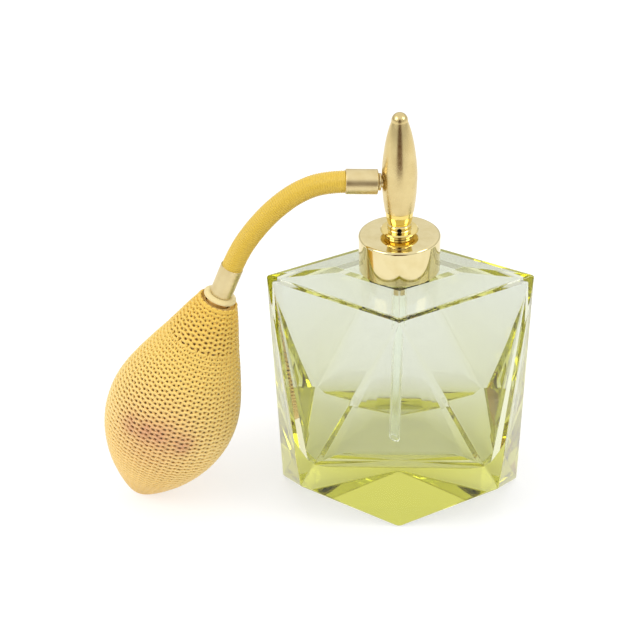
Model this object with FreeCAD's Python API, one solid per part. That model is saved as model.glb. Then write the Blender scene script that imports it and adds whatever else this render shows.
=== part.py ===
import FreeCAD, Part
import math
import os

# A bulb perfume atomiser: a faceted glass bottle, a screw-on gold cap with a torpedo-shaped spray
# head, and a hose that leads to a rubber squeeze bulb in a crocheted net.
# Millimetres. +Z is up, the origin is the centre of the bottle's base, -Y is the spray's direction.
# The hose leaves towards -X, turned by hose_azimuth about the bottle's axis.

# ---------------------------------------------------------------- driving dimensions

# bottle: a lozenge top and a lozenge base, with four corners that stand out low down
half_width = 36.5
half_depth = 22.0
shoulder_height = 72.0
corner_x = 28.0
corner_z = 15.0
base_half_width = 35.8
pad_height = 74.7
pad_scale = 0.48
edge_round = 0.9

# cavity of the bottle: it follows the outside, sharp at the top and rounded all ways at the bottom
cavity_top_half = (34.6, 20.1)
cavity_top = 70.0
cavity_pad_rise = 1.6
cavity_low_half = (34.0, 18.9)
cavity_corner_x = 25.0
cavity_corner_z = 21.0
cavity_corner_round = 13.0
cavity_corner_steps = 5
cavity_floor = 16.4
# half-width at the shoulder and at the floor, and the round between wall and floor
trough_across = (35.0, 32.8, 22.0)
trough_along = (20.6, 18.9, 12.0)

# neck, its metal collar and the cement between them
bore_radius = 6.6
neck_radius = 7.9
neck_top = 81.8
cement_gap = 0.4
collar_radius = 9.2
collar_lip = 0.4
crest_height = 0.3
crest_half_width = 0.4
crest_pitch = 1.6
crest_count = 3
first_crest = 2.0

# cap
cap_radius = 11.0
cap_bottom = 74.9
cap_top = 84.9
sheet = 0.6
cap_round = 0.7
cap_hole_radius = 3.5
liner_clearance = 0.25
fit_gap = 0.05

# spray base, the turned piece through the cap
shoulder_radius = 3.9
stem_radius = 2.9
flange_radius = 5.1
flange_bottom = 86.0
flange_top = 86.7
ring_radius = 3.2
ring_top = 88.1
spigot_radius = 2.0
spigot_top = 93.2
air_bore_radius = 1.0
nozzle_height = 87.35
nozzle_radius = 0.6
orifice_radius = 0.45
orifice_depth = 0.7
jet_hole_radius = 0.2
jet_tube_radius = 0.55
jet_tube_bore_radius = 0.3
plug_length = 2.3
nut_height = 0.7
nut_corner_radius = 5.6

# siphon stem and dip tube
siphon_radius = 1.8
siphon_bore_radius = 0.45
siphon_bottom = 72.0
barb_radius = 1.05
barb_length = 6.0
dip_radius = 1.6
dip_bore_radius = 1.1
# centre of the tube's end, which leans off the axis from the bend down
dip_end = (-1.4, -3.9, 18.1)
dip_bend = 62.0
dip_bend_reach = 6.0
dip_slant = 25.0

# torpedo finial: radius at heights above the base, from the polished foot to the nose
finial_bottom = 88.38
finial_foot = [(3.12, 88.38), (3.30, 88.9), (3.58, 90.3), (3.74, 91.9)]
finial_body = [(3.88, 92.05), (4.31, 95.4), (4.62, 100.0), (4.62, 103.2), (4.16, 108.1), (3.28, 113.1),
               (2.13, 116.95)]
finial_top = 119.3
finial_bore_radius = 1.5
finial_bore_top = 106.0

# nipple on the side of the finial, which rises a little outwards
hose_azimuth = 5.3
nipple_rise = 3.5
nipple_height = 100.1
nipple_radius = 1.5
nipple_bore_radius = 0.8
nipple_end = 10.9
nipple_collar = (4.85, 5.5)
nipple_collar_radius = 2.3

# hose
hose_radius = 2.95
lining_radius = 2.40
lining_bore_radius = 1.58
ferrule_inner = 3.0
head_ferrule_radius = 3.3
head_ferrule = (5.7, 14.1)
bush = (6.15, 11.5)
# route of the hose: distance from the bottle's axis, and height
hose_route = [(11.6, 100.81), (18.9, 101.2), (26.2, 98.9), (33.0, 94.0), (38.9, 87.7), (43.5, 81.1),
              (46.36, 74.72)]

# bulb: its axis leaves the neck at bulb_neck and falls at bulb_fall below the horizontal
bulb_neck = (49.42, 67.87)
bulb_fall = 65.9
bulb_length = 73.6
# outer radius of the net at fractions of the length, from the neck to the round tail
bulb_outline = [(0.0, 5.0), (0.1, 7.9), (0.22, 11.4), (0.38, 16.1), (0.55, 19.1), (0.72, 16.8), (0.86, 11.2),
                (0.955, 5.9)]
net_thickness = 1.2
skin_gap = 0.15
rubber_neck = [(3.1, 0.3), (3.4, 3.8)]
rubber_shoulder = (5.7, 7.6)
rubber_wall = 2.2
rubber_inner_end = 68.0
bulb_ferrule = (-10.2, -1.2)
bulb_ferrule_radius = 3.15
connector_start = -7.4
connector_radius = 1.9
connector_bore_radius = 1.2
connector_end = 7.0
washer = (-1.1, -0.1)
washer_radius = 4.6
binding = (1.5, 3.4)
binding_radius = 0.28

# non-return valves in the bulb
outlet_valve = (7.05, 11.0)
outlet_valve_radius = 2.6
outlet_chamber = (7.6, 10.2)
outlet_chamber_radius = 1.5
outlet_hole_radius = 0.6
outlet_ball_radius = 1.0
inlet_valve = (66.5, 72.0)
inlet_valve_radius = 2.2
inlet_flange_radius = 3.0
inlet_flange = 0.7
inlet_chamber = (67.6, 71.0)
inlet_chamber_radius = 1.3
inlet_hole_radius = 0.5
inlet_ball_radius = 0.9
ball_gap = 0.03

# ---------------------------------------------------------------- helpers

Vector = FreeCAD.Vector
Y = Vector(0, 1, 0)
Z = Vector(0, 0, 1)
ORIGIN = Vector(0, 0, 0)


def save(name, shape):
    """Write one node, and print what it is."""
    shape.exportStep("parts/" + name + ".step")
    box = shape.BoundBox
    print("%-20s solids %d valid %s volume %9.2f z %7.2f to %7.2f" % (
        name, len(shape.Solids), shape.isValid(), shape.Volume, box.ZMin, box.ZMax))


def disc(radius, low, high):
    """A cylinder about the Z axis, from one height to another."""
    return Part.makeCylinder(radius, high - low, Vector(0, 0, low), Z)


def tube(outer, inner, low, high):
    """A hollow cylinder about the Z axis."""
    return disc(outer, low, high).cut(disc(inner, low - 1, high + 1))


def polyhedron(faces):
    """A closed solid from lists of corner points."""
    sides = [Part.Face(Part.makePolygon([Vector(*p) for p in face + face[:1]])) for face in faces]
    solid = Part.Solid(Part.Shell(sides))
    if solid.Volume < 0:
        solid.reverse()
    return solid


def revolve(wire_edges, angle=360):
    """Turn a closed outline in the XZ plane about the Z axis."""
    face = Part.Face(Part.Wire(wire_edges))
    return face.revolve(ORIGIN, Z, angle)


def smooth(points):
    """One smooth edge through (radius, height) points."""
    curve = Part.BSplineCurve()
    curve.interpolate([Vector(r, 0, z) for r, z in points])
    return curve.toShape()


def line(a, b):
    """A straight edge between two (radius, height) points."""
    return Part.makeLine(Vector(a[0], 0, a[1]), Vector(b[0], 0, b[1]))


def round_end(start, end):
    """An arc about the Z axis from a (radius, height) point to a height on the axis."""
    r, s = start
    depth = end - s
    ball = (r * r + depth * depth) / (2 * depth)
    half = math.atan2(r, s - end + ball) / 2
    middle = Vector(ball * math.sin(half), 0, end - ball + ball * math.cos(half))
    return Part.Arc(Vector(r, 0, s), middle, Vector(0, 0, end)).toShape()


def round_edges(shape, radius, wanted):
    """Fillet the edges that wanted() picks."""
    return shape.makeFillet(radius, [edge for edge in shape.Edges if wanted(edge)])


def mirrored_corners(x, y, z):
    """The four mirror images of a point, in the order -x-y, +x-y, +x+y, -x+y."""
    return [(-x, -y, z), (x, -y, z), (x, y, z), (-x, y, z)]


def lozenge(x, y, z):
    """The corners left, front, right, back of a lozenge at one height."""
    return [(-x, 0, z), (0, -y, z), (x, 0, z), (0, y, z)]


def faceted(top, base, corners, pad):
    """The bottle's shape: a lozenge top under a small raised pad, a lozenge base, and four low corners."""
    faces = [pad, base[::-1]]
    for i in range(4):
        j = (i + 1) % 4
        faces.append([top[i], top[j], pad[j], pad[i]])
        faces.append([top[i], corners[i], top[j]])
        faces.append([base[i], base[j], corners[i]])
    front, back = (1, 3)
    faces.append([top[front], corners[0], base[front], corners[1]])
    faces.append([top[back], corners[2], base[back], corners[3]])
    for side, (first, second) in ((0, (3, 0)), (2, (1, 2))):
        faces.append([top[side], corners[first], base[side]])
        faces.append([top[side], base[side], corners[second]])
    return polyhedron(faces)


def hose_place(shape):
    """Turn a piece made in the plane Y = 0, towards -X, to the hose's azimuth."""
    shape = shape.copy()
    shape.rotate(ORIGIN, Z, hose_azimuth)
    return shape


def on_axis(shape, start, direction):
    """Stand a piece made about the Z axis on another axis, in the hose's plane."""
    shape = shape.copy()
    shape.Placement = FreeCAD.Placement(start, FreeCAD.Rotation(Z, direction)).multiply(shape.Placement)
    return hose_place(shape)


def on_nipple(shape):
    """Heights become distances along the nipple from the bottle's axis."""
    rise = math.radians(nipple_rise)
    return on_axis(shape, Vector(0, 0, nipple_height), Vector(-math.cos(rise), 0, math.sin(rise)))


def on_bulb(shape):
    """Heights become distances from the bulb's neck along its axis."""
    fall = math.radians(bulb_fall)
    return on_axis(shape, Vector(-bulb_neck[0], 0, bulb_neck[1]), Vector(-math.cos(fall), 0, -math.sin(fall)))


# ---------------------------------------------------------------- bottle, neck and collar

def glass_bottle():
    outside = faceted(
        lozenge(half_width, half_depth, shoulder_height),
        lozenge(base_half_width, half_depth, 0),
        mirrored_corners(corner_x, half_depth, corner_z),
        lozenge(half_width * pad_scale, half_depth * pad_scale, pad_height))
    outside = round_edges(outside, edge_round, lambda edge: True)
    inside = cavity()
    neck = disc(neck_radius, pad_height - 1, neck_top)
    bore = disc(bore_radius, cavity_top - 2, neck_top + 1)
    return outside.fuse(neck).cut(inside).cut(bore).removeSplitter()


def cavity():
    """The space inside, with an even wall, round low corners and a thick floor."""
    width, depth = cavity_top_half
    points = lozenge(width, depth, cavity_top)
    points += lozenge(width * pad_scale, depth * pad_scale, cavity_top + cavity_pad_rise)
    for height in (cavity_corner_z, 0):
        for x, y in round_corner():
            points += mirrored_corners(x, y, height)
    points += [(-cavity_low_half[0], 0, 0), (cavity_low_half[0], 0, 0)]
    along = trough(*trough_along, half_width)
    along.rotate(ORIGIN, Z, 90)
    return hull(points).common(trough(*trough_across, half_depth)).common(along)


def round_corner():
    """Points (x, y) on the round between the cavity's back wall and its side wall, low down."""
    width, depth = cavity_low_half
    side = math.atan2(width - cavity_corner_x, depth)
    half_turn = (math.pi / 2 - side) / 2
    reach = cavity_corner_round * math.tan(half_turn)
    middle = (cavity_corner_x - reach, depth - cavity_corner_round)
    angles = [side + 2 * half_turn * i / cavity_corner_steps for i in range(cavity_corner_steps + 1)]
    radius = cavity_corner_round
    return [(middle[0] + radius * math.cos(a), middle[1] + radius * math.sin(a)) for a in angles]


def trough(top_half, floor_half, radius, reach):
    """A prism along Y with a U outline that is a little wider at the top."""
    top = shoulder_height + cavity_pad_rise
    corners = [(-top_half, top), (-floor_half, cavity_floor), (floor_half, cavity_floor), (top_half, top)]
    face = Part.Face(Part.makePolygon([Vector(x, -reach, z) for x, z in corners + corners[:1]]))
    prism = face.extrude(Y * (2 * reach))
    low = cavity_floor + 1
    return round_edges(prism, radius, lambda edge: edge.BoundBox.ZMax < low and edge.BoundBox.YLength > reach)


def hull(points):
    """The convex solid round a few points: every plane through three of them that has none outside."""
    vectors = [Vector(*p) for p in points]
    faces = {}
    for i in range(len(vectors)):
        for j in range(i + 1, len(vectors)):
            for k in range(j + 1, len(vectors)):
                normal = (vectors[j] - vectors[i]).cross(vectors[k] - vectors[i])
                if normal.Length < 1e-6:
                    continue
                normal.normalize()
                heights = [(v - vectors[i]).dot(normal) for v in vectors]
                if min(heights) < -1e-6 and max(heights) > 1e-6:
                    continue
                if max(heights) > 1e-6:
                    normal = normal * -1
                on_plane = tuple(n for n, h in enumerate(heights) if abs(h) < 1e-6)
                faces[on_plane] = normal
    sides = [outline([vectors[n] for n in members], normal) for members, normal in faces.items()]
    return polyhedron(sides)


def outline(corners, normal):
    """The corners of a flat convex face, in order round their middle."""
    middle = Vector(0, 0, 0)
    for corner in corners:
        middle = middle + corner * (1.0 / len(corners))
    across = (corners[0] - middle).normalize()
    along = normal.cross(across)
    turn = sorted(corners, key=lambda c: math.atan2((c - middle).dot(along), (c - middle).dot(across)))
    return [(c.x, c.y, c.z) for c in turn]


def neck_collar():
    """The metal ring on the glass neck, with its thread's crests and a lip over the rim."""
    inner = neck_radius + cement_gap
    ring = tube(collar_radius, inner, pad_height + 0.3, neck_top)
    lip = tube(collar_radius, bore_radius + 0.3, neck_top, neck_top + collar_lip)
    ring = ring.fuse(lip)
    for i in range(crest_count):
        middle = pad_height + first_crest + i * crest_pitch
        tip = collar_radius + crest_height
        rise = Part.makeCone(collar_radius, tip, crest_half_width, Vector(0, 0, middle - crest_half_width), Z)
        fall = Part.makeCone(tip, collar_radius, crest_half_width, Vector(0, 0, middle), Z)
        crest = rise.fuse(fall)
        ring = ring.fuse(crest.cut(disc(inner + 0.3, middle - 1, middle + 1)))
    return ring.removeSplitter()


def collar_cement():
    return tube(neck_radius + cement_gap - 0.02, neck_radius + 0.02, pad_height + 0.6, neck_top - 0.1)


# ---------------------------------------------------------------- cap

def cap_shell():
    """The drawn metal cap, open below, with a hole in its top for the spray base."""
    cup = disc(cap_radius, cap_bottom, cap_top)
    cup = round_edges(cup, cap_round, lambda edge: edge.BoundBox.ZMin > cap_top - 0.01)
    cup = cup.cut(disc(cap_radius - sheet, cap_bottom - 1, cap_top - sheet))
    return cup.cut(disc(cap_hole_radius, cap_top - 2, cap_top + 1))


def cap_liner():
    """The moulded liner inside the cap, which carries the thread."""
    outer = cap_radius - sheet - fit_gap
    inner = collar_radius + crest_height + liner_clearance
    top = cap_top - sheet - fit_gap
    cup = disc(outer, cap_bottom + 0.4, top).cut(disc(inner, cap_bottom - 1, top - sheet))
    return cup.cut(disc(cap_hole_radius + fit_gap, top - 2, top + 1))


# ---------------------------------------------------------------- spray base and siphon

liner_ceiling = cap_top - 2 * sheet - fit_gap
nut_bottom = liner_ceiling - nut_height - 0.1
gasket_bottom = neck_top + collar_lip + 0.1


def spray_base():
    """The turned base: a stem through the cap, a shoulder on it, a flange, a ring and a spigot."""
    outline_points = [
        (air_bore_radius, gasket_bottom - 0.05), (stem_radius, gasket_bottom - 0.05),
        (stem_radius, cap_top + 0.1), (shoulder_radius, cap_top + 0.1),
        (shoulder_radius, flange_bottom - 0.1), (flange_radius - 0.3, flange_bottom),
        (flange_radius, flange_bottom + 0.25), (flange_radius, flange_top - 0.25),
        (flange_radius - 0.3, flange_top), (ring_radius + 0.15, flange_top + 0.1),
        (ring_radius, flange_top + 0.3), (ring_radius, ring_top - 0.2), (ring_radius - 0.2, ring_top),
        (spigot_radius, ring_top), (spigot_radius, spigot_top), (air_bore_radius, spigot_top)]
    edges = [line(a, b) for a, b in zip(outline_points, outline_points[1:] + outline_points[:1])]
    body = revolve(edges)
    hole = Part.makeCylinder(nozzle_radius + fit_gap, ring_radius + 1, Vector(0, 0, nozzle_height), Y * -1)
    return body.cut(hole)


def nozzle_insert():
    """The jet pressed into the ring, with the orifice in a small round recess."""
    back = air_bore_radius + 0.1
    front = ring_radius - 0.12
    centre = Vector(0, -back, nozzle_height)
    body = Part.makeCylinder(nozzle_radius, front - back, centre, Y * -1)
    end = Vector(0, -front + orifice_depth, nozzle_height)
    recess = Part.makeCylinder(orifice_radius, orifice_depth, end, Y * -1)
    hole = Part.makeCylinder(jet_hole_radius, ring_radius + 1, Vector(0, 0, nozzle_height), Y * -1)
    return body.cut(recess).cut(hole)


def jet_tube():
    """The fine tube that lifts the liquid from the siphon to the jet."""
    return tube(jet_tube_radius, jet_tube_bore_radius, gasket_bottom + plug_length + 0.1, nozzle_height)


def finial_washer():
    return tube(ring_radius - 0.25, spigot_radius + fit_gap, ring_top + 0.02, finial_bottom - 0.03)


def lock_nut():
    """The thin hexagon nut that clamps the base up through the cap."""
    radius = nut_corner_radius
    turns = [math.radians(60 * i) for i in range(6)]
    corners = [Vector(radius * math.cos(a), radius * math.sin(a), nut_bottom) for a in turns]
    hexagon = Part.Face(Part.makePolygon(corners + corners[:1])).extrude(Z * nut_height)
    return hexagon.cut(disc(stem_radius + fit_gap, nut_bottom - 1, liner_ceiling + 1))


def sealing_gasket():
    return tube(collar_radius, stem_radius + fit_gap, gasket_bottom, nut_bottom - 0.03)


def siphon_stem():
    """The tube under the base, with a spigot into its bore above and a barb for the dip tube below."""
    base_bottom = gasket_bottom - 0.05
    stem = disc(siphon_radius, siphon_bottom, base_bottom)
    spigot = disc(air_bore_radius - 0.03, base_bottom, base_bottom + plug_length)
    barb = disc(barb_radius, siphon_bottom - barb_length, siphon_bottom)
    solid = stem.fuse(spigot).fuse(barb)
    bore = disc(siphon_bore_radius, siphon_bottom - barb_length - 1, base_bottom + plug_length + 1)
    return solid.cut(bore).removeSplitter()


def dip_tube():
    """The clear tube down to just above the bottle's floor, with a slight bend, cut at a slant at its end."""
    top = Vector(0, 0, siphon_bottom - 0.05)
    bend = Vector(0, 0, dip_bend)
    end = Vector(*dip_end)
    lean = (end - bend).normalize()
    start = bend + Z * dip_bend_reach
    finish = bend + lean * dip_bend_reach
    inward = (lean + Z).normalize()
    half_turn = Z.getAngle(lean * -1) / 2
    radius = dip_bend_reach / math.tan(half_turn)
    middle = bend + inward * (radius / math.cos(half_turn) - radius)
    curve = Part.Arc(start, middle, finish).toShape()
    path = Part.Wire([Part.makeLine(top, start), curve, Part.makeLine(finish, end)])
    solids = []
    for tube_radius in (dip_radius, dip_bore_radius):
        ring = Part.Wire(Part.makeCircle(tube_radius, top, Z * -1))
        solids.append(path.makePipeShell([ring], True, False))
    reach = 2 * dip_radius
    slant = Part.makeBox(2 * reach, 2 * reach, reach, Vector(-reach, -reach, -reach))
    slant.rotate(ORIGIN, Y, dip_slant)
    slant.translate(end + Z * (dip_radius * math.tan(math.radians(dip_slant))))
    return solids[0].cut(solids[1]).cut(slant)


# ---------------------------------------------------------------- torpedo finial and nipple

def finial_shell():
    """The torpedo: a polished foot, a fine step, a swelling satin body and a round nose."""
    foot = smooth(finial_foot)
    step = line(finial_foot[-1], finial_body[0])
    body = smooth(finial_body)
    nose = round_end(finial_body[-1], finial_top)
    axis = line((0, finial_top), (0, finial_bottom))
    under = line((0, finial_bottom), finial_foot[0])
    solid = revolve([foot, step, body, nose, axis, under])
    solid = solid.cut(disc(spigot_radius + fit_gap, finial_bottom - 1, spigot_top + 0.5))
    solid = solid.cut(disc(finial_bore_radius, spigot_top, finial_bore_top))
    side_hole = on_nipple(disc(nipple_radius + 0.02, 0, 8))
    return solid.cut(side_hole)


def air_nipple():
    """The tube on the finial's side that the hose turns on, with a small round collar."""
    body = disc(nipple_radius, finial_bore_radius + 0.2, nipple_end)
    collar = disc(nipple_collar_radius, *nipple_collar)
    collar = round_edges(collar, 0.2, lambda edge: len(edge.Vertexes) == 1)
    return on_nipple(body.fuse(collar).cut(disc(nipple_bore_radius, 0, nipple_end + 1)))


# ---------------------------------------------------------------- hose and its head ferrule

def head_ferrule_tube():
    """The sleeve at the hose's head end, closed round the nipple by a thin end wall."""
    low, high = head_ferrule
    cup = disc(head_ferrule_radius, low, high)
    cup = round_edges(cup, 0.25, lambda edge: len(edge.Vertexes) == 1)
    cup = cup.cut(disc(ferrule_inner, low + 0.4, high + 1))
    return on_nipple(cup.cut(disc(nipple_radius + 0.08, low - 1, low + 1)))


def head_bush():
    """The sleeve inside the head ferrule, which grips the end of the hose and turns on the nipple."""
    return on_nipple(tube(ferrule_inner - 0.03, nipple_radius + 0.06, *bush))


def hose_path():
    """Straight runs joined by tangent arcs, each as large as its two runs allow."""
    points = [Vector(-distance, 0, height) for distance, height in hose_route]
    edges = []
    radii = []
    last = points[0]
    for before, here, after in zip(points, points[1:], points[2:]):
        back = (before - here)
        ahead = (after - here)
        reach = 0.45 * min(back.Length, ahead.Length)
        half_turn = (math.pi - back.getAngle(ahead)) / 2
        radius = reach / math.tan(half_turn)
        back.normalize()
        ahead.normalize()
        start = here + back * reach
        end = here + ahead * reach
        inward = (back + ahead).normalize()
        middle = here + inward * (radius / math.cos(half_turn) - radius)
        edges.append(Part.LineSegment(last, start).toShape())
        edges.append(Part.Arc(start, middle, end).toShape())
        radii.append(radius)
        last = end
    edges.append(Part.LineSegment(last, points[-1]).toShape())
    return Part.Wire(edges), radii


def along_hose(outer, inner):
    """A hollow tube that follows the route."""
    path, _ = hose_path()
    start = Vector(-hose_route[0][0], 0, hose_route[0][1])
    direction = path.Edges[0].tangentAt(path.Edges[0].FirstParameter)
    solids = []
    for radius in (outer, inner):
        ring = Part.Wire(Part.makeCircle(radius, start, direction))
        solids.append(path.makePipeShell([ring], True, False))
    return hose_place(solids[0].cut(solids[1]))


def hose_tube():
    return along_hose(lining_radius, lining_bore_radius)


def hose_braid():
    return along_hose(hose_radius, lining_radius + 0.03)


# ---------------------------------------------------------------- bulb, net and valves

def bulb_ferrule_tube():
    body = disc(bulb_ferrule_radius, *bulb_ferrule)
    body = round_edges(body, 0.12, lambda edge: len(edge.Vertexes) == 1)
    return on_bulb(body.cut(disc(ferrule_inner, bulb_ferrule[0] - 1, bulb_ferrule[1] + 1)))


def bulb_connector():
    """The plug inside the ferrule, with a tube that goes on into the bulb's neck."""
    plug = disc(ferrule_inner - 0.03, connector_start, bulb_ferrule[1])
    body = plug.fuse(disc(connector_radius, bulb_ferrule[1], connector_end)).removeSplitter()
    return on_bulb(body.cut(disc(connector_bore_radius, connector_start - 1, connector_end + 1)))


def bulb_washer():
    """The dished washer between the ferrule and the net."""
    low, high = washer
    dish = Part.makeCone(washer_radius - 0.9, washer_radius, 0.5, Vector(0, 0, low), Z)
    dish = dish.fuse(disc(washer_radius, low + 0.5, high))
    return on_bulb(dish.cut(disc(connector_radius + fit_gap, low - 1, high + 1)).removeSplitter())


def outline_at(inset, end_inset):
    """The net's outline moved in, as (radius, distance) points down to the axis."""
    points = [(r - inset, f * bulb_length) for f, r in bulb_outline]
    return points + [(0.0, bulb_length - end_inset)]


def pear(points):
    """A solid turned from an outline: flat at the neck, smooth at the side, round at the tail."""
    neck, tail = points[0], points[-1]
    axis = line((0, tail[1]), (0, neck[1]))
    return revolve([smooth(points[:-1]), round_end(points[-2], tail[1]), axis, line((0, neck[1]), neck)])


def net_cover():
    """The crocheted net over the rubber, open at the neck."""
    inner = outline_at(net_thickness, net_thickness)
    return on_bulb(pear(outline_at(0, 0)).cut(pear(inner)))


def rubber_bulb():
    """The rubber bulb: a narrow neck round the connector, an even wall, and a hole for the inlet valve."""
    gap = net_thickness + skin_gap
    outer = rubber_neck + [rubber_shoulder] + outline_at(gap, gap)[2:]
    thick = gap + rubber_wall
    inner = [(connector_radius + 0.15, rubber_neck[0][1]), (connector_radius + 0.25, rubber_neck[1][1]),
             (outlet_valve_radius + 0.3, outlet_valve[0])] + outline_at(thick, thick)[2:-2]
    inner.append((0.0, rubber_inner_end))
    body = pear(outer).cut(pear(inner))
    return on_bulb(body.cut(disc(inlet_valve_radius + fit_gap, inlet_valve[0], bulb_length)))


def neck_binding():
    """Turns of thread that tie the rubber neck to the connector."""
    rings = []
    radius = rubber_neck[1][0] + binding_radius + 0.05
    turns = int((binding[1] - binding[0]) / (2 * binding_radius))
    for i in range(turns):
        height = binding[0] + binding_radius * (2.1 * i + 1)
        rings.append(Part.makeTorus(radius, binding_radius, Vector(0, 0, height), Z))
    return on_bulb(Part.makeCompound(rings))


def ball_place(seat, hole, ball):
    """How far a ball's centre stands from the edge of the hole it closes."""
    return seat - math.sqrt(ball * ball - hole * hole) - ball_gap


def valve(limits, radius, chamber, chamber_radius, hole_radius):
    low, high = limits
    body = disc(radius, low, high).cut(disc(chamber_radius, *chamber))
    return body.cut(disc(hole_radius, low - 1, high + 1))


def outlet_valve_body():
    body = valve(outlet_valve, outlet_valve_radius, outlet_chamber, outlet_chamber_radius, outlet_hole_radius)
    return on_bulb(body)


def outlet_valve_ball():
    middle = ball_place(outlet_chamber[1], outlet_hole_radius, outlet_ball_radius)
    return on_bulb(Part.makeSphere(outlet_ball_radius, Vector(0, 0, middle)))


def inlet_valve_body():
    body = valve(inlet_valve, inlet_valve_radius, inlet_chamber, inlet_chamber_radius, inlet_hole_radius)
    low = inlet_valve[0]
    flange = tube(inlet_flange_radius, inlet_valve_radius - 0.3, low, low + inlet_flange)
    return on_bulb(body.fuse(flange).removeSplitter())


def inlet_valve_ball():
    middle = ball_place(inlet_chamber[1], inlet_hole_radius, inlet_ball_radius)
    return on_bulb(Part.makeSphere(inlet_ball_radius, Vector(0, 0, middle)))


# ---------------------------------------------------------------- write every node

NODES = {
    "glass_bottle": glass_bottle,
    "neck_collar": neck_collar,
    "collar_cement": collar_cement,
    "cap_shell": cap_shell,
    "cap_liner": cap_liner,
    "spray_base": spray_base,
    "nozzle_insert": nozzle_insert,
    "jet_tube": jet_tube,
    "finial_washer": finial_washer,
    "lock_nut": lock_nut,
    "sealing_gasket": sealing_gasket,
    "siphon_stem": siphon_stem,
    "dip_tube": dip_tube,
    "finial_shell": finial_shell,
    "air_nipple": air_nipple,
    "head_ferrule": head_ferrule_tube,
    "head_bush": head_bush,
    "hose_tube": hose_tube,
    "hose_braid": hose_braid,
    "bulb_ferrule": bulb_ferrule_tube,
    "bulb_connector": bulb_connector,
    "bulb_washer": bulb_washer,
    "rubber_bulb": rubber_bulb,
    "net_cover": net_cover,
    "neck_binding": neck_binding,
    "outlet_valve_body": outlet_valve_body,
    "outlet_valve_ball": outlet_valve_ball,
    "inlet_valve_body": inlet_valve_body,
    "inlet_valve_ball": inlet_valve_ball,
}

os.makedirs("parts", exist_ok=True)
for node, make in NODES.items():
    save(node, make())

path, radii = hose_path()
section = math.pi * (hose_radius ** 2 - (lining_radius + 0.03) ** 2)
print("hose length %.1f, radii %s" % (path.Length, ", ".join("%.1f" % r for r in radii)))
print("braid: section times length %.2f, solid %.2f" % (section * path.Length, hose_braid().Volume))
fall = math.radians(bulb_fall)
rise = math.radians(nipple_rise)
azimuth = math.radians(hose_azimuth)
for name, vector in (("bulb axis", (-math.cos(fall), -math.sin(fall))),
                     ("nipple axis", (-math.cos(rise), math.sin(rise)))):
    print(name, ["%.5f" % v for v in (vector[0] * math.cos(azimuth), vector[0] * math.sin(azimuth), vector[1])])
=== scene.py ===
"""The looks of a bulb perfume atomiser: faceted vaseline-green glass, gilt metal, silk hose, knitted net."""
import math

import bpy
import numpy as np
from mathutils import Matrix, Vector


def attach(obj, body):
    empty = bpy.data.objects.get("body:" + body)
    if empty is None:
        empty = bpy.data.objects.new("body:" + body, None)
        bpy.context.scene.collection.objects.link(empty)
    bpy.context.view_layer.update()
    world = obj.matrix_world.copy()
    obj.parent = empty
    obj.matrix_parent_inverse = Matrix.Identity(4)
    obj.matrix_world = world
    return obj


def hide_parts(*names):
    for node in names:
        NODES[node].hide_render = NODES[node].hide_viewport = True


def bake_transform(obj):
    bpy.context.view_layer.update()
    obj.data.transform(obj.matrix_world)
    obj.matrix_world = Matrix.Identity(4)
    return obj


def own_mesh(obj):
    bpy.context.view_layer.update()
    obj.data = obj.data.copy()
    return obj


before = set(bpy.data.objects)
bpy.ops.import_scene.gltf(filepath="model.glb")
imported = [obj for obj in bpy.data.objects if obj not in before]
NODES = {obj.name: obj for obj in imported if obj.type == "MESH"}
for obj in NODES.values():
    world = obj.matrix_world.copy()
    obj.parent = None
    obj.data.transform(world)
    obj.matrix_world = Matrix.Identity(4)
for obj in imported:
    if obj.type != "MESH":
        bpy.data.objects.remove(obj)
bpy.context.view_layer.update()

HOSE_AZIMUTH = math.radians(5.3)


def in_hose_plane(distance, height):
    """The row-frame point at a distance from the bottle's axis, in the hose's plane."""
    return Vector((-distance * math.cos(HOSE_AZIMUTH), -distance * math.sin(HOSE_AZIMUTH), height))


# the span of noise values that a colour or a roughness is spread over
NOISE_SPAN = (0.3, 0.7)

# top of the finial's polished foot, and how rough it is there
FOOT_TOP = 0.0920
FOOT_ROUGHNESS = 0.08

BULB_NECK = in_hose_plane(0.04942, 0.06787)
BULB_FALL = math.radians(65.9)
BULB_AXIS = in_hose_plane(math.cos(BULB_FALL), -math.sin(BULB_FALL)).normalized()
BULB_SIDE = Vector((-math.sin(HOSE_AZIMUTH), math.cos(HOSE_AZIMUTH), 0))
BULB_UP = BULB_SIDE.cross(BULB_AXIS)
BULB_LENGTH = 0.0736
# soft patches on the net: centre, radius and strength
PEACH_PATCH = ((-0.0690, -0.0230, 0.0330), 0.019, 0.7)
STAIN_PATCHES = [((-0.0745, -0.0217, 0.0365), 0.0055, 0.9), ((-0.0700, -0.0235, 0.0355), 0.006, 1.0),
                 ((-0.0655, -0.0242, 0.0345), 0.0065, 1.0), ((-0.0605, -0.0238, 0.0315), 0.006, 0.9)]


# ---------------------------------------------------------------- node helpers

def new_material(name):
    """A material with just a Principled shader, and its node tree."""
    material = bpy.data.materials.new(name)
    material.use_nodes = True
    tree = material.node_tree
    shader = tree.nodes["Principled BSDF"]
    return material, tree, shader


def add(tree, kind, inputs=None, **settings):
    """One node, with its input values and its settings."""
    node = tree.nodes.new(kind)
    for name, value in settings.items():
        setattr(node, name, value)
    for name, value in (inputs or {}).items():
        node.inputs[name].default_value = value
    return node


def ramp(tree, factor, stops):
    """A colour ramp over (position, colour) stops."""
    node = tree.nodes.new("ShaderNodeValToRGB")
    elements = node.color_ramp.elements
    while len(elements) < len(stops):
        elements.new(0.5)
    for element, (position, colour) in zip(elements, stops):
        element.position = position
        element.color = (*colour, 1)
    tree.links.new(factor, node.inputs[0])
    return node.outputs["Color"]


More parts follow.
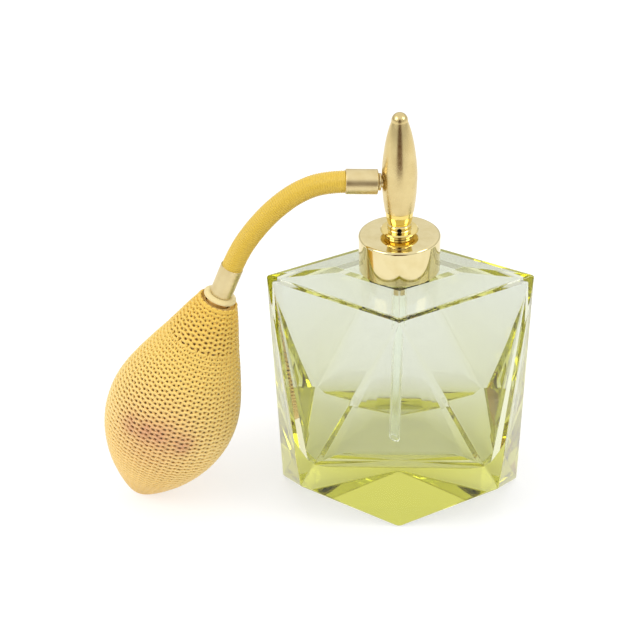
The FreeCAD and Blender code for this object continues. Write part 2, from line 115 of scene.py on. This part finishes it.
def value_range(tree, factor, low, high):
    """A noise value, whose usual span is stretched over another range."""
    start, end = NOISE_SPAN
    limits = {"From Min": start, "From Max": end, "To Min": low, "To Max": high}
    node = add(tree, "ShaderNodeMapRange", limits)
    tree.links.new(factor, node.inputs["Value"])
    return node.outputs["Result"]


def noise(tree, scale, detail=2.0, stretch=(1, 1, 1)):
    """Noise over the object's own coordinates, in features per metre."""
    place = add(tree, "ShaderNodeTexCoord")
    mapping = add(tree, "ShaderNodeMapping", {"Scale": stretch})
    texture = add(tree, "ShaderNodeTexNoise", {"Scale": scale, "Detail": detail})
    tree.links.new(place.outputs["Object"], mapping.inputs["Vector"])
    tree.links.new(mapping.outputs["Vector"], texture.inputs["Vector"])
    return texture.outputs["Fac"]


def along_axis(tree, start, axis):
    """How far a point is along an axis, from the object's own coordinates."""
    place = add(tree, "ShaderNodeTexCoord")
    offset = add(tree, "ShaderNodeVectorMath", operation="SUBTRACT")
    product = add(tree, "ShaderNodeVectorMath", operation="DOT_PRODUCT")
    tree.links.new(place.outputs["Object"], offset.inputs[0])
    offset.inputs[1].default_value = start
    tree.links.new(offset.outputs["Vector"], product.inputs[0])
    product.inputs[1].default_value = axis
    return product.outputs["Value"]


def spot(tree, centre, radius, strength):
    """A soft round patch: its strength at the centre, and nothing beyond its radius."""
    place = add(tree, "ShaderNodeTexCoord")
    distance = add(tree, "ShaderNodeVectorMath", operation="DISTANCE")
    tree.links.new(place.outputs["Object"], distance.inputs[0])
    distance.inputs[1].default_value = centre
    limits = {"From Min": 0.0, "From Max": radius, "To Min": strength, "To Max": 0.0}
    fade = add(tree, "ShaderNodeMapRange", limits, interpolation_type="SMOOTHSTEP")
    tree.links.new(distance.outputs["Value"], fade.inputs["Value"])
    return fade.outputs["Result"]


def combine(tree, operation, first, second):
    """One value from two, by a sum, a product or the like."""
    node = add(tree, "ShaderNodeMath", operation=operation)
    tree.links.new(first, node.inputs[0])
    tree.links.new(second, node.inputs[1])
    return node.outputs["Value"]


def mix(tree, factor, first, second):
    """One colour into another; either may be a socket or a plain colour."""
    node = add(tree, "ShaderNodeMix", data_type="RGBA")
    tree.links.new(factor, node.inputs["Factor"])
    for socket, colour in ((node.inputs[6], first), (node.inputs[7], second)):
        if isinstance(colour, tuple):
            socket.default_value = (*colour, 1)
        else:
            tree.links.new(colour, socket)
    return node.outputs[2]


def bump(tree, shader, height, distance, strength=1.0):
    """Fine relief on a surface, from a height value."""
    node = add(tree, "ShaderNodeBump", {"Distance": distance, "Strength": strength})
    tree.links.new(height, node.inputs["Height"])
    tree.links.new(node.outputs["Normal"], shader.inputs["Normal"])


# ---------------------------------------------------------------- materials

def glass_material():
    """Clear pressed glass that turns yellow-green where it is thick, and is greyed a little as painted
    shade.
    """
    material, tree, shader = new_material("bottle_glass")
    # painted shade: the grey in the base colour, and the grey share of the absorption, dim all seen through
    # the glass and stand in for the shadowed table behind; the yellow-green is the glass's own tint
    shader.inputs["Base Color"].default_value = (0.83, 0.85, 0.86, 1)
    shader.inputs["Roughness"].default_value = 0.0
    shader.inputs["IOR"].default_value = 1.5
    shader.inputs["Transmission Weight"].default_value = 1.0
    volume = add(tree, "ShaderNodeVolumeAbsorption", {"Color": (0.88, 0.868, 0.13, 1), "Density": 50.0})
    tree.links.new(volume.outputs["Volume"], tree.nodes["Material Output"].inputs["Volume"])
    return material


def metal_material(name, colour, dark, roughness, grain=(1, 1, 1), grain_scale=4000, grain_depth=0.0):
    """Gilt metal with a little wear in its colour and its polish."""
    material, tree, shader = new_material(name)
    shader.inputs["Metallic"].default_value = 1.0
    patches = noise(tree, 260, 4)
    tree.links.new(ramp(tree, patches, [(0.3, dark), (0.6, colour)]), shader.inputs["Base Color"])
    tree.links.new(value_range(tree, noise(tree, 500, 3), *roughness), shader.inputs["Roughness"])
    if grain_depth:
        bump(tree, shader, noise(tree, grain_scale, 2, grain), grain_depth)
    return material


def finial_material():
    """Satin gilt with a fine grain, and a polished foot of deeper colour."""
    material, tree, shader = new_material("finial_gold")
    shader.inputs["Metallic"].default_value = 1.0
    height = along_axis(tree, (0, 0, FOOT_TOP), (0, 0, 1))
    body = add(tree, "ShaderNodeMapRange", {"From Min": -0.0002, "From Max": 0.0001})
    tree.links.new(height, body.inputs["Value"])
    satin = ramp(tree, noise(tree, 260, 4), [(0.3, (0.66, 0.52, 0.24)), (0.6, (0.72, 0.58, 0.28))])
    tree.links.new(mix(tree, body.outputs["Result"], (0.84, 0.66, 0.20), satin), shader.inputs["Base Color"])
    extra = value_range(tree, noise(tree, 500, 3), 0.14, 0.21)
    extra = combine(tree, "MULTIPLY", body.outputs["Result"], extra)
    roughness = add(tree, "ShaderNodeMath", operation="ADD")
    tree.links.new(extra, roughness.inputs[0])
    roughness.inputs[1].default_value = FOOT_ROUGHNESS
    tree.links.new(roughness.outputs["Value"], shader.inputs["Roughness"])
    bump(tree, shader, noise(tree, 6000, 2), 0.000004, 0.5)
    return material


def plastic_material(name, colour, roughness):
    """Opaque plastic, rubber or thread with a slightly uneven colour."""
    material, tree, shader = new_material(name)
    darker = tuple(0.9 * c for c in colour)
    tree.links.new(ramp(tree, noise(tree, 300), [(0.3, darker), (0.7, colour)]), shader.inputs["Base Color"])
    tree.links.new(value_range(tree, noise(tree, 700), *roughness), shader.inputs["Roughness"])
    return material


def clear_plastic_painted_glow():
    """Thin clear tubing, a little milky, with a faint painted glow as if lit from inside."""
    material, tree, shader = new_material("dip_plastic")
    milky = ramp(tree, noise(tree, 300), [(0.3, (0.90, 0.93, 0.90)), (0.7, (0.95, 0.97, 0.94))])
    tree.links.new(milky, shader.inputs["Base Color"])
    shader.inputs["Roughness"].default_value = 0.2
    shader.inputs["IOR"].default_value = 1.3
    shader.inputs["Transmission Weight"].default_value = 1.0
    # painted glow: a faint emission stands in for light coming through the tube; the tube is no lamp
    shader.inputs["Emission Color"].default_value = (1, 1, 0.95, 1)
    shader.inputs["Emission Strength"].default_value = 0.05
    return material


def silk_material():
    """Golden silk thread, with a soft sheen and a little unevenness from turn to turn."""
    material, tree, shader = new_material("hose_silk")
    colour = ramp(tree, noise(tree, 1600, 3), [(0.3, (0.69, 0.46, 0.040)), (0.7, (0.76, 0.52, 0.052))])
    tree.links.new(colour, shader.inputs["Base Color"])
    tree.links.new(value_range(tree, noise(tree, 1500), 0.36, 0.5), shader.inputs["Roughness"])
    shader.inputs["Sheen Weight"].default_value = 0.35
    shader.inputs["Sheen Roughness"].default_value = 0.4
    bump(tree, shader, noise(tree, 9000, 2), 0.00002, 0.5)
    return material


def net_material():
    """Mercerised cotton yarn in gold, paler in the middle, with a faded pinkish stain low on the front."""
    material, tree, shader = new_material("net_yarn")
    along = along_axis(tree, BULB_NECK, BULB_AXIS)
    reach = add(tree, "ShaderNodeMapRange", {"From Min": 0.0, "From Max": BULB_LENGTH})
    tree.links.new(along, reach.inputs["Value"])
    base = ramp(tree, reach.outputs["Result"], [
        (0.0, (0.84, 0.55, 0.08)), (0.28, (0.90, 0.64, 0.16)), (0.55, (0.92, 0.68, 0.25)),
        (0.8, (0.90, 0.62, 0.20)), (1.0, (0.80, 0.50, 0.11))])
    uneven = noise(tree, 120, 3)
    faded = combine(tree, "MULTIPLY", spot(tree, *PEACH_PATCH), value_range(tree, uneven, 0.6, 1.0))
    base = mix(tree, faded, base, (0.80, 0.45, 0.19))
    stain = spot(tree, *STAIN_PATCHES[0])
    for patch in STAIN_PATCHES[1:]:
        stain = combine(tree, "MAXIMUM", stain, spot(tree, *patch))
    stain = combine(tree, "MULTIPLY", stain, value_range(tree, noise(tree, 320, 3), 0.45, 1.0))
    base = mix(tree, stain, base, (0.68, 0.34, 0.17))
    tree.links.new(base, shader.inputs["Base Color"])
    tree.links.new(value_range(tree, noise(tree, 1500), 0.45, 0.6), shader.inputs["Roughness"])
    shader.inputs["Sheen Weight"].default_value = 0.3
    shader.inputs["Sheen Roughness"].default_value = 0.4
    bump(tree, shader, noise(tree, 7000, 2), 0.00003, 0.6)
    return material


def rubber_material():
    """Old ochre rubber, seen only through the net's gaps."""
    material, tree, shader = new_material("bulb_rubber")
    colour = ramp(tree, noise(tree, 200, 3), [(0.3, (0.72, 0.45, 0.11)), (0.7, (0.84, 0.56, 0.17))])
    tree.links.new(colour, shader.inputs["Base Color"])
    tree.links.new(value_range(tree, noise(tree, 500), 0.6, 0.8), shader.inputs["Roughness"])
    return material


def assign(material, *names):
    """Give CAD nodes a material of this scene."""
    for name in names:
        for slot in NODES[name].material_slots:
            slot.material = material


assign(glass_material(), "glass_bottle")
assign(metal_material("cap_gold", (0.78, 0.67, 0.37), (0.73, 0.61, 0.31), (0.06, 0.12)), "cap_shell")
assign(metal_material("base_gold", (0.84, 0.68, 0.27), (0.78, 0.60, 0.21), (0.07, 0.14)), "spray_base")
assign(finial_material(), "finial_shell")
assign(metal_material("ferrule_gold", (0.77, 0.64, 0.35), (0.70, 0.56, 0.28), (0.32, 0.40)),
       "head_ferrule", "bulb_ferrule", "air_nipple")
assign(metal_material("valve_brass", (0.80, 0.62, 0.30), (0.66, 0.50, 0.24), (0.2, 0.4)),
       "jet_tube", "lock_nut", "siphon_stem", "head_bush", "bulb_connector", "outlet_valve_body",
       "inlet_valve_body", "neck_collar")
assign(plastic_material("jet_dark", (0.03, 0.02, 0.012), (0.4, 0.6)), "nozzle_insert")
assign(plastic_material("gasket_rubber", (0.78, 0.76, 0.68), (0.5, 0.7)),
       "sealing_gasket", "finial_washer", "cap_liner")
assign(plastic_material("cement", (0.85, 0.83, 0.75), (0.8, 0.95)), "collar_cement")
assign(clear_plastic_painted_glow(), "dip_tube")
assign(plastic_material("washer_ivory", (0.84, 0.70, 0.34), (0.3, 0.45)), "bulb_washer")
assign(plastic_material("binding_thread", (0.80, 0.58, 0.20), (0.6, 0.8)), "neck_binding")


# ---------------------------------------------------------------- hose

HOSE_ROUTE = [(0.0116, 0.10081), (0.0189, 0.1012), (0.0262, 0.0989), (0.0330, 0.0940), (0.0389, 0.0877),
              (0.0435, 0.0811), (0.04636, 0.07472)]
HOSE_LENGTH = 0.047
HOSE_RADIUS = 0.00295
THREAD_PITCH = 0.00062
THREAD_HEIGHT = 0.0002
GROOVE_SHARPNESS = 0.7
RINGS_PER_TURN = 7
HOSE_SIDES = 32


def hose_line():
    """Dense points read from the smooth spline that the route's points control."""
    data = bpy.data.curves.new("hose_line", "CURVE")
    data.dimensions = "3D"
    data.resolution_u = 64
    spline = data.splines.new("NURBS")
    spline.points.add(len(HOSE_ROUTE) - 1)
    for point, place in zip(spline.points, HOSE_ROUTE):
        point.co = (*in_hose_plane(*place), 1)
    spline.order_u = 3
    spline.use_endpoint_u = True
    curve = bpy.data.objects.new("hose_line", data)
    mesh = bpy.data.meshes.new_from_object(curve)
    points = np.array([v.co for v in mesh.vertices])
    bpy.data.objects.remove(curve)
    bpy.data.meshes.remove(mesh)
    return points


def evenly(points, count):
    """Points an equal distance apart along a line of dense points, and how far along each is."""
    steps = np.linalg.norm(np.diff(points, axis=0), axis=1)
    along = np.concatenate([[0], np.cumsum(steps)])
    wanted = np.linspace(0, along[-1], count)
    return np.stack([np.interp(wanted, along, points[:, k]) for k in range(3)], axis=1), wanted


def new_piece(name, points, faces, material):
    """A smooth mesh object of quads."""
    mesh = bpy.data.meshes.new(name)
    mesh.from_pydata(points.reshape(-1, 3).tolist(), [], faces.reshape(-1, 4).tolist())
    mesh.shade_smooth()
    mesh.materials.append(material)
    piece = bpy.data.objects.new(name, mesh)
    bpy.context.scene.collection.objects.link(piece)
    return piece


def tube_faces(index, closed):
    """Quads over rings x sides of point numbers, round each ring and from ring to ring."""
    beside = np.roll(index, -1, axis=-1)
    ahead, ahead_beside = np.roll(index, -1, axis=-2), np.roll(beside, -1, axis=-2)
    faces = np.stack([index, beside, ahead_beside, ahead], axis=-1)
    return faces if closed else faces[..., :-1, :, :]


def build_hose():
    """The silk-covered hose: a thread wound closely round a tube along the route."""
    points, along = evenly(hose_line(), int(HOSE_LENGTH / THREAD_PITCH * RINGS_PER_TURN))
    tangents = np.gradient(points, axis=0)
    tangents /= np.linalg.norm(tangents, axis=1)[:, None]
    side = np.array([-math.sin(HOSE_AZIMUTH), math.cos(HOSE_AZIMUTH), 0])
    up = np.cross(side, tangents)
    turn = np.linspace(0, 2 * math.pi, HOSE_SIDES, endpoint=False)
    phase = 2 * math.pi * along[:, None] / THREAD_PITCH + turn[None, :]
    radius = HOSE_RADIUS - THREAD_HEIGHT * (1 - np.abs(np.sin(phase / 2)) ** GROOVE_SHARPNESS)
    rings = points[:, None] + radius[..., None] * (
        np.cos(turn)[None, :, None] * side + np.sin(turn)[None, :, None] * up[:, None])
    faces = tube_faces(np.arange(radius.size).reshape(radius.shape), closed=False)
    hose = new_piece("silk_hose", rings, faces, silk_material())
    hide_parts("hose_tube", "hose_braid")
    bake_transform(hose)


# ---------------------------------------------------------------- bulb and its knitted net

COLUMNS = 40
# near the neck the net has fewer and relatively wider loops
NECK_RADIUS = 0.0102
NECK_COLUMNS = 20
COURSE_STEP = 0.0014
FIRST_COURSE = COURSE_STEP * 0.6
YARN_RADIUS = 0.00046
YARN_SIDES = 5
YARN_DEPTH = 0.00052
LOOP_SAMPLES = 14
LOOP_LEAN = 0.20
LOOP_HEIGHT = 0.00092
LOOP_BULGE = 0.00017
# loops narrower than this are flatter and closer
FULL_LOOP_WIDTH = 0.0022
LOOP_WOBBLE = 0.02
COURSE_WOBBLE = 0.00004
WOBBLE_SEED = 7
NET_BANDS = 3
NET_TAIL_GAP = 0.0016
NET_TAIL_REACH = 0.0024
NET_TAIL_YARN = 0.00036
NET_RIM_DEPTH = 0.0014

# how finely the net's outline is read from its CAD node, and how many points it is smoothed over
OUTLINE_START = 0.0003
OUTLINE_SLICES = 60
OUTLINE_POINTS = 800
SMOOTHED_OVER = 25


def bulb_meridian():
    """The net's outline from neck to tail: arc length, distance along the axis and radius."""
    axis = np.array(BULB_AXIS)
    points = np.array([v.co for v in NODES["net_cover"].data.vertices]) - np.array(BULB_NECK)
    along = points @ axis
    radius = np.linalg.norm(points - along[:, None] * axis, axis=1)
    bins = np.digitize(along, np.linspace(OUTLINE_START, along.max(), OUTLINE_SLICES))
    rows = [(along[bins == b].mean(), radius[bins == b].max()) for b in np.unique(bins)[1:]]
    rows.append((along.max(), 0.0))
    rows = np.array(sorted(rows))
    arc = np.concatenate([[0], np.cumsum(np.linalg.norm(np.diff(rows, axis=0), axis=1))])
    fine = np.linspace(0, arc[-1], OUTLINE_POINTS)
    kernel = np.ones(SMOOTHED_OVER) / SMOOTHED_OVER
    half = SMOOTHED_OVER // 2
    smooth = []
    # past the tail, the distance along the axis goes on and the radius comes back
    for k, onward in ((0, 1), (1, -1)):
        values = np.interp(fine, arc, rows[:, k])
        before = 2 * values[0] - values[half:0:-1]
        beyond = values[-1] + onward * (values[-1] - values[-2:-2 - half:-1])
        padded = np.concatenate([before, values, beyond])
        smooth.append(np.convolve(padded, kernel, "valid"))
    return fine, smooth[0], smooth[1]


def on_bulb(arc, angle, depth, meridian):
    """Points at an arc length, an angle round the axis and a depth under the outline, and normals."""
    lengths, along, radius = meridian
    place = np.interp(arc, lengths, along)
    ring = np.interp(arc, lengths, radius)
    slope_along = np.interp(arc, lengths, np.gradient(along, lengths))
    slope_ring = np.interp(arc, lengths, np.gradient(radius, lengths))
    size = np.hypot(slope_along, slope_ring)
    side, up, axis, neck = (np.array(v) for v in (BULB_SIDE, BULB_UP, BULB_AXIS, BULB_NECK))
    radial = np.cos(angle)[..., None] * side + np.sin(angle)[..., None] * up
    normal = (slope_along / size)[..., None] * radial - (slope_ring / size)[..., None] * axis
    return neck + place[..., None] * axis + ring[..., None] * radial - depth[..., None] * normal, normal


def yarn_rings(centres, normals, thick):
    """Rings of points round closed yarns, courses x samples x sides."""
    tangents = np.roll(centres, -1, axis=1) - np.roll(centres, 1, axis=1)
    tangents /= np.linalg.norm(tangents, axis=-1, keepdims=True)
    across = np.cross(tangents, normals)
    across /= np.linalg.norm(across, axis=-1, keepdims=True)
    outward = np.cross(across, tangents)
    turn = np.linspace(0, 2 * math.pi, YARN_SIDES, endpoint=False) + 0.3
    ring = np.cos(turn)[:, None] * outward[..., None, :] + np.sin(turn)[:, None] * across[..., None, :]
    return centres[..., None, :] + thick[..., None, None] * ring


def build_net():
    """The net: courses of interlocked yarn loops round the bulb, with their heads and feet outwards."""
    meridian = bulb_meridian()
    lengths, _, radius = meridian
    last = lengths[-1] - NET_TAIL_GAP
    count = int(last / COURSE_STEP)
    course = np.linspace(FIRST_COURSE, last, count)[:, None]
    loops = np.arange(COLUMNS * LOOP_SAMPLES)[None, :] / LOOP_SAMPLES
    rng = np.random.default_rng(WOBBLE_SEED)
    ring = np.interp(course, lengths, radius)
    columns = np.where((ring < NECK_RADIUS) & (course < lengths[-1] / 2), NECK_COLUMNS, COLUMNS)
    loops = loops * columns / COLUMNS
    turn = 2 * math.pi * loops
    width = 2 * math.pi * ring / columns
    full = np.clip(width / FULL_LOOP_WIDTH, 0, 1)
    wobble = rng.normal(0, LOOP_WOBBLE, (count, COLUMNS)).repeat(LOOP_SAMPLES, axis=1)
    angle = (loops + LOOP_LEAN * np.sin(2 * turn) + wobble) / columns * 2 * math.pi
    height = LOOP_HEIGHT * (0.55 + 0.45 * full)
    arc = course + height * np.cos(turn) + rng.normal(0, COURSE_WOBBLE, (count, 1))
    thick = np.minimum(YARN_RADIUS, 0.17 * width + 0.00012) * np.ones_like(angle)
    depth = YARN_DEPTH - LOOP_BULGE * full * np.cos(2 * turn)
    centres, normals = on_bulb(arc, angle, depth, meridian)
    rings = yarn_rings(centres, normals, thick)
    material = net_material()
    for number, part in enumerate(np.array_split(rings, NET_BANDS)):
        faces = tube_faces(np.arange(part[..., 0].size).reshape(part.shape[:3]), closed=True)
        soft_piece(new_piece("net_band_%d" % (number + 1), part, faces, material), "net_cover")
    build_net_tail(meridian, material)
    build_net_rim(meridian, material)


def net_spiral(name, arc, turns, depth, thick, meridian, material):
    """A short spiral of yarn round the bulb, with its two ends left off."""
    share = np.linspace(0, 1, arc.size)[None, :]
    centres, normals = on_bulb(arc, share * 2 * math.pi * turns, depth, meridian)
    rings = yarn_rings(centres, normals, thick * np.ones_like(share))[0, 2:-2]
    faces = tube_faces(np.arange(rings[..., 0].size).reshape(rings.shape[:2]), closed=False)
    soft_piece(new_piece(name, rings, faces, material), "net_cover")


def build_net_rim(meridian, material):
    """The net's first edge, gathered in round the neck, under the washer."""
    share = np.linspace(0, 1, 400)[None, :]
    arc = 0.0005 * np.ones_like(share)
    net_spiral("net_rim", arc, 5, 0.0003 + NET_RIM_DEPTH * share, YARN_RADIUS, meridian, material)


def build_net_tail(meridian, material):
    """The drawn-up end of the net, over the tail."""
    share = np.linspace(0, 1, 160)[None, :]
    arc = meridian[0][-1] - NET_TAIL_REACH * (1 - share) - 0.00005
    net_spiral("net_tail", arc, 4, 0.0004 * np.ones_like(share), NET_TAIL_YARN, meridian, material)


def build_rubber():
    """The rubber bulb under the net, as its own soft piece."""
    mesh = NODES["rubber_bulb"].data.copy()
    mesh.materials.clear()
    mesh.materials.append(rubber_material())
    piece = bpy.data.objects.new("rubber_core", mesh)
    bpy.context.scene.collection.objects.link(piece)
    soft_piece(piece, "rubber_bulb")


def soft_piece(piece, node):
    """A piece that rides on the bulb, stands for a CAD node and flattens when the bulb is squeezed."""
    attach(piece, "bulb")
    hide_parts(node)
    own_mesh(piece)


# ---------------------------------------------------------------- stage, light and camera

FLOOR_GLOW = 0.6
FLOOR_PALE = 0.45
FLOOR_SIZE = 3.0
FLOOR_FRONT = -0.30
FLOOR_HEIGHT = -0.0003
WORLD_BELOW = 1.0
WORLD_LOW = 0.6
WORLD_HIGH = 1.05
ROOM_DIRECTION = (0.03, -1, 0.0)
ROOM_DIM = (0.16, 0.08, 0.045)
LIGHT_TARGET = Vector((0, 0, 0.05))
CAMERA_PLACE = (-0.00008, -0.26621, 0.22944)
CAMERA_YAW = -0.0831
CAMERA_PITCH = 0.5723
CAMERA_ROLL = -0.0430
CAMERA_LENS = 63.48
# the light goes through many faces of the bottle
BOUNCES = 40


def floor_material():
    """A pale table that glows a little, as one lit from below does, so that shadows stay faint."""
    material, _, shader = new_material("floor")
    shader.inputs["Base Color"].default_value = (FLOOR_PALE, FLOOR_PALE, FLOOR_PALE, 1)
    shader.inputs["Roughness"].default_value = 0.9
    shader.inputs["Specular IOR Level"].default_value = 0.1
    shader.inputs["Emission Color"].default_value = (1, 1, 1, 1)
    shader.inputs["Emission Strength"].default_value = FLOOR_GLOW
    return material


def build_stage():
    """The floor, a little under the bottle."""
    middle = (0, FLOOR_FRONT + FLOOR_SIZE / 2, FLOOR_HEIGHT)
    bpy.ops.mesh.primitive_plane_add(size=FLOOR_SIZE, location=middle)
    floor = bpy.context.object
    floor.name = "floor"
    floor.data.materials.append(floor_material())


def area_light(name, place, size, power):
    """A softbox turned towards the bottle."""
    data = bpy.data.lights.new(name, "AREA")
    data.shape = "RECTANGLE"
    data.size, data.size_y = size
    data.energy = power
    light = bpy.data.objects.new(name, data)
    bpy.context.scene.collection.objects.link(light)
    light.location = place
    light.rotation_euler = (LIGHT_TARGET - Vector(place)).to_track_quat("-Z", "Y").to_euler()


def build_world():
    """Light from all round: bright above and below, dimmer at the horizon, dark at the room in front."""
    world = bpy.data.worlds.new("studio")
    world.use_nodes = True
    tree = world.node_tree
    background = tree.nodes["Background"]
    place = add(tree, "ShaderNodeTexCoord")
    split = add(tree, "ShaderNodeSeparateXYZ")
    tree.links.new(place.outputs["Generated"], split.inputs["Vector"])
    height = ramp(tree, split.outputs["Z"], [
        (0.0, (WORLD_BELOW,) * 3), (0.01, (WORLD_LOW,) * 3), (0.15, (WORLD_LOW,) * 3),
        (0.55, (WORLD_HIGH,) * 3)])
    flat = add(tree, "ShaderNodeVectorMath", operation="MULTIPLY")
    tree.links.new(place.outputs["Generated"], flat.inputs[0])
    flat.inputs[1].default_value = (1, 1, 0.5)
    unit = add(tree, "ShaderNodeVectorMath", operation="NORMALIZE")
    tree.links.new(flat.outputs["Vector"], unit.inputs[0])
    toward = add(tree, "ShaderNodeVectorMath", operation="DOT_PRODUCT")
    tree.links.new(unit.outputs["Vector"], toward.inputs[0])
    toward.inputs[1].default_value = Vector(ROOM_DIRECTION).normalized()
    room = ramp(tree, toward.outputs["Value"], [(0.91, (1, 1, 1)), (0.97, ROOM_DIM)])
    mixed = add(tree, "ShaderNodeVectorMath", operation="MULTIPLY")
    tree.links.new(height, mixed.inputs[0])
    tree.links.new(room, mixed.inputs[1])
    tree.links.new(mixed.outputs["Vector"], background.inputs["Color"])
    background.inputs["Strength"].default_value = 1.0
    bpy.context.scene.world = world


def build_lights():
    """Two softboxes, left and right of the camera."""
    area_light("left_softbox", (-0.9, -0.5, 0.9), (0.7, 0.7), 5)
    area_light("right_softbox", (0.9, -0.3, 0.8), (0.5, 0.5), 3)


def build_camera():
    """The camera, 0.35 m off, looking down at the bottle, with a slight roll."""
    yaw, pitch, roll = CAMERA_YAW, CAMERA_PITCH, CAMERA_ROLL
    level = math.cos(pitch)
    forward = Vector((math.sin(yaw) * level, math.cos(yaw) * level, -math.sin(pitch)))
    right = Vector((math.cos(yaw), -math.sin(yaw), 0))
    up = right.cross(forward)
    tilted_right = right * math.cos(roll) + up * math.sin(roll)
    tilted_up = up * math.cos(roll) - right * math.sin(roll)
    data = bpy.data.cameras.new("camera")
    data.sensor_width = 36
    data.lens = CAMERA_LENS
    data.clip_start = 0.01
    camera = bpy.data.objects.new("camera", data)
    bpy.context.scene.collection.objects.link(camera)
    columns = (tilted_right, tilted_up, -forward)
    matrix = camera.matrix_world.to_3x3()
    for i, column in enumerate(columns):
        for j in range(3):
            matrix[j][i] = column[j]
    camera.matrix_world = matrix.to_4x4()
    camera.location = CAMERA_PLACE
    bpy.context.scene.camera = camera


build_hose()
build_net()
build_rubber()
build_stage()
build_world()
build_lights()
build_camera()
bpy.context.scene.view_settings.view_transform = "Standard"
bpy.context.scene.cycles.max_bounces = BOUNCES
bpy.context.scene.cycles.glossy_bounces = BOUNCES
bpy.context.scene.cycles.transmission_bounces = BOUNCES
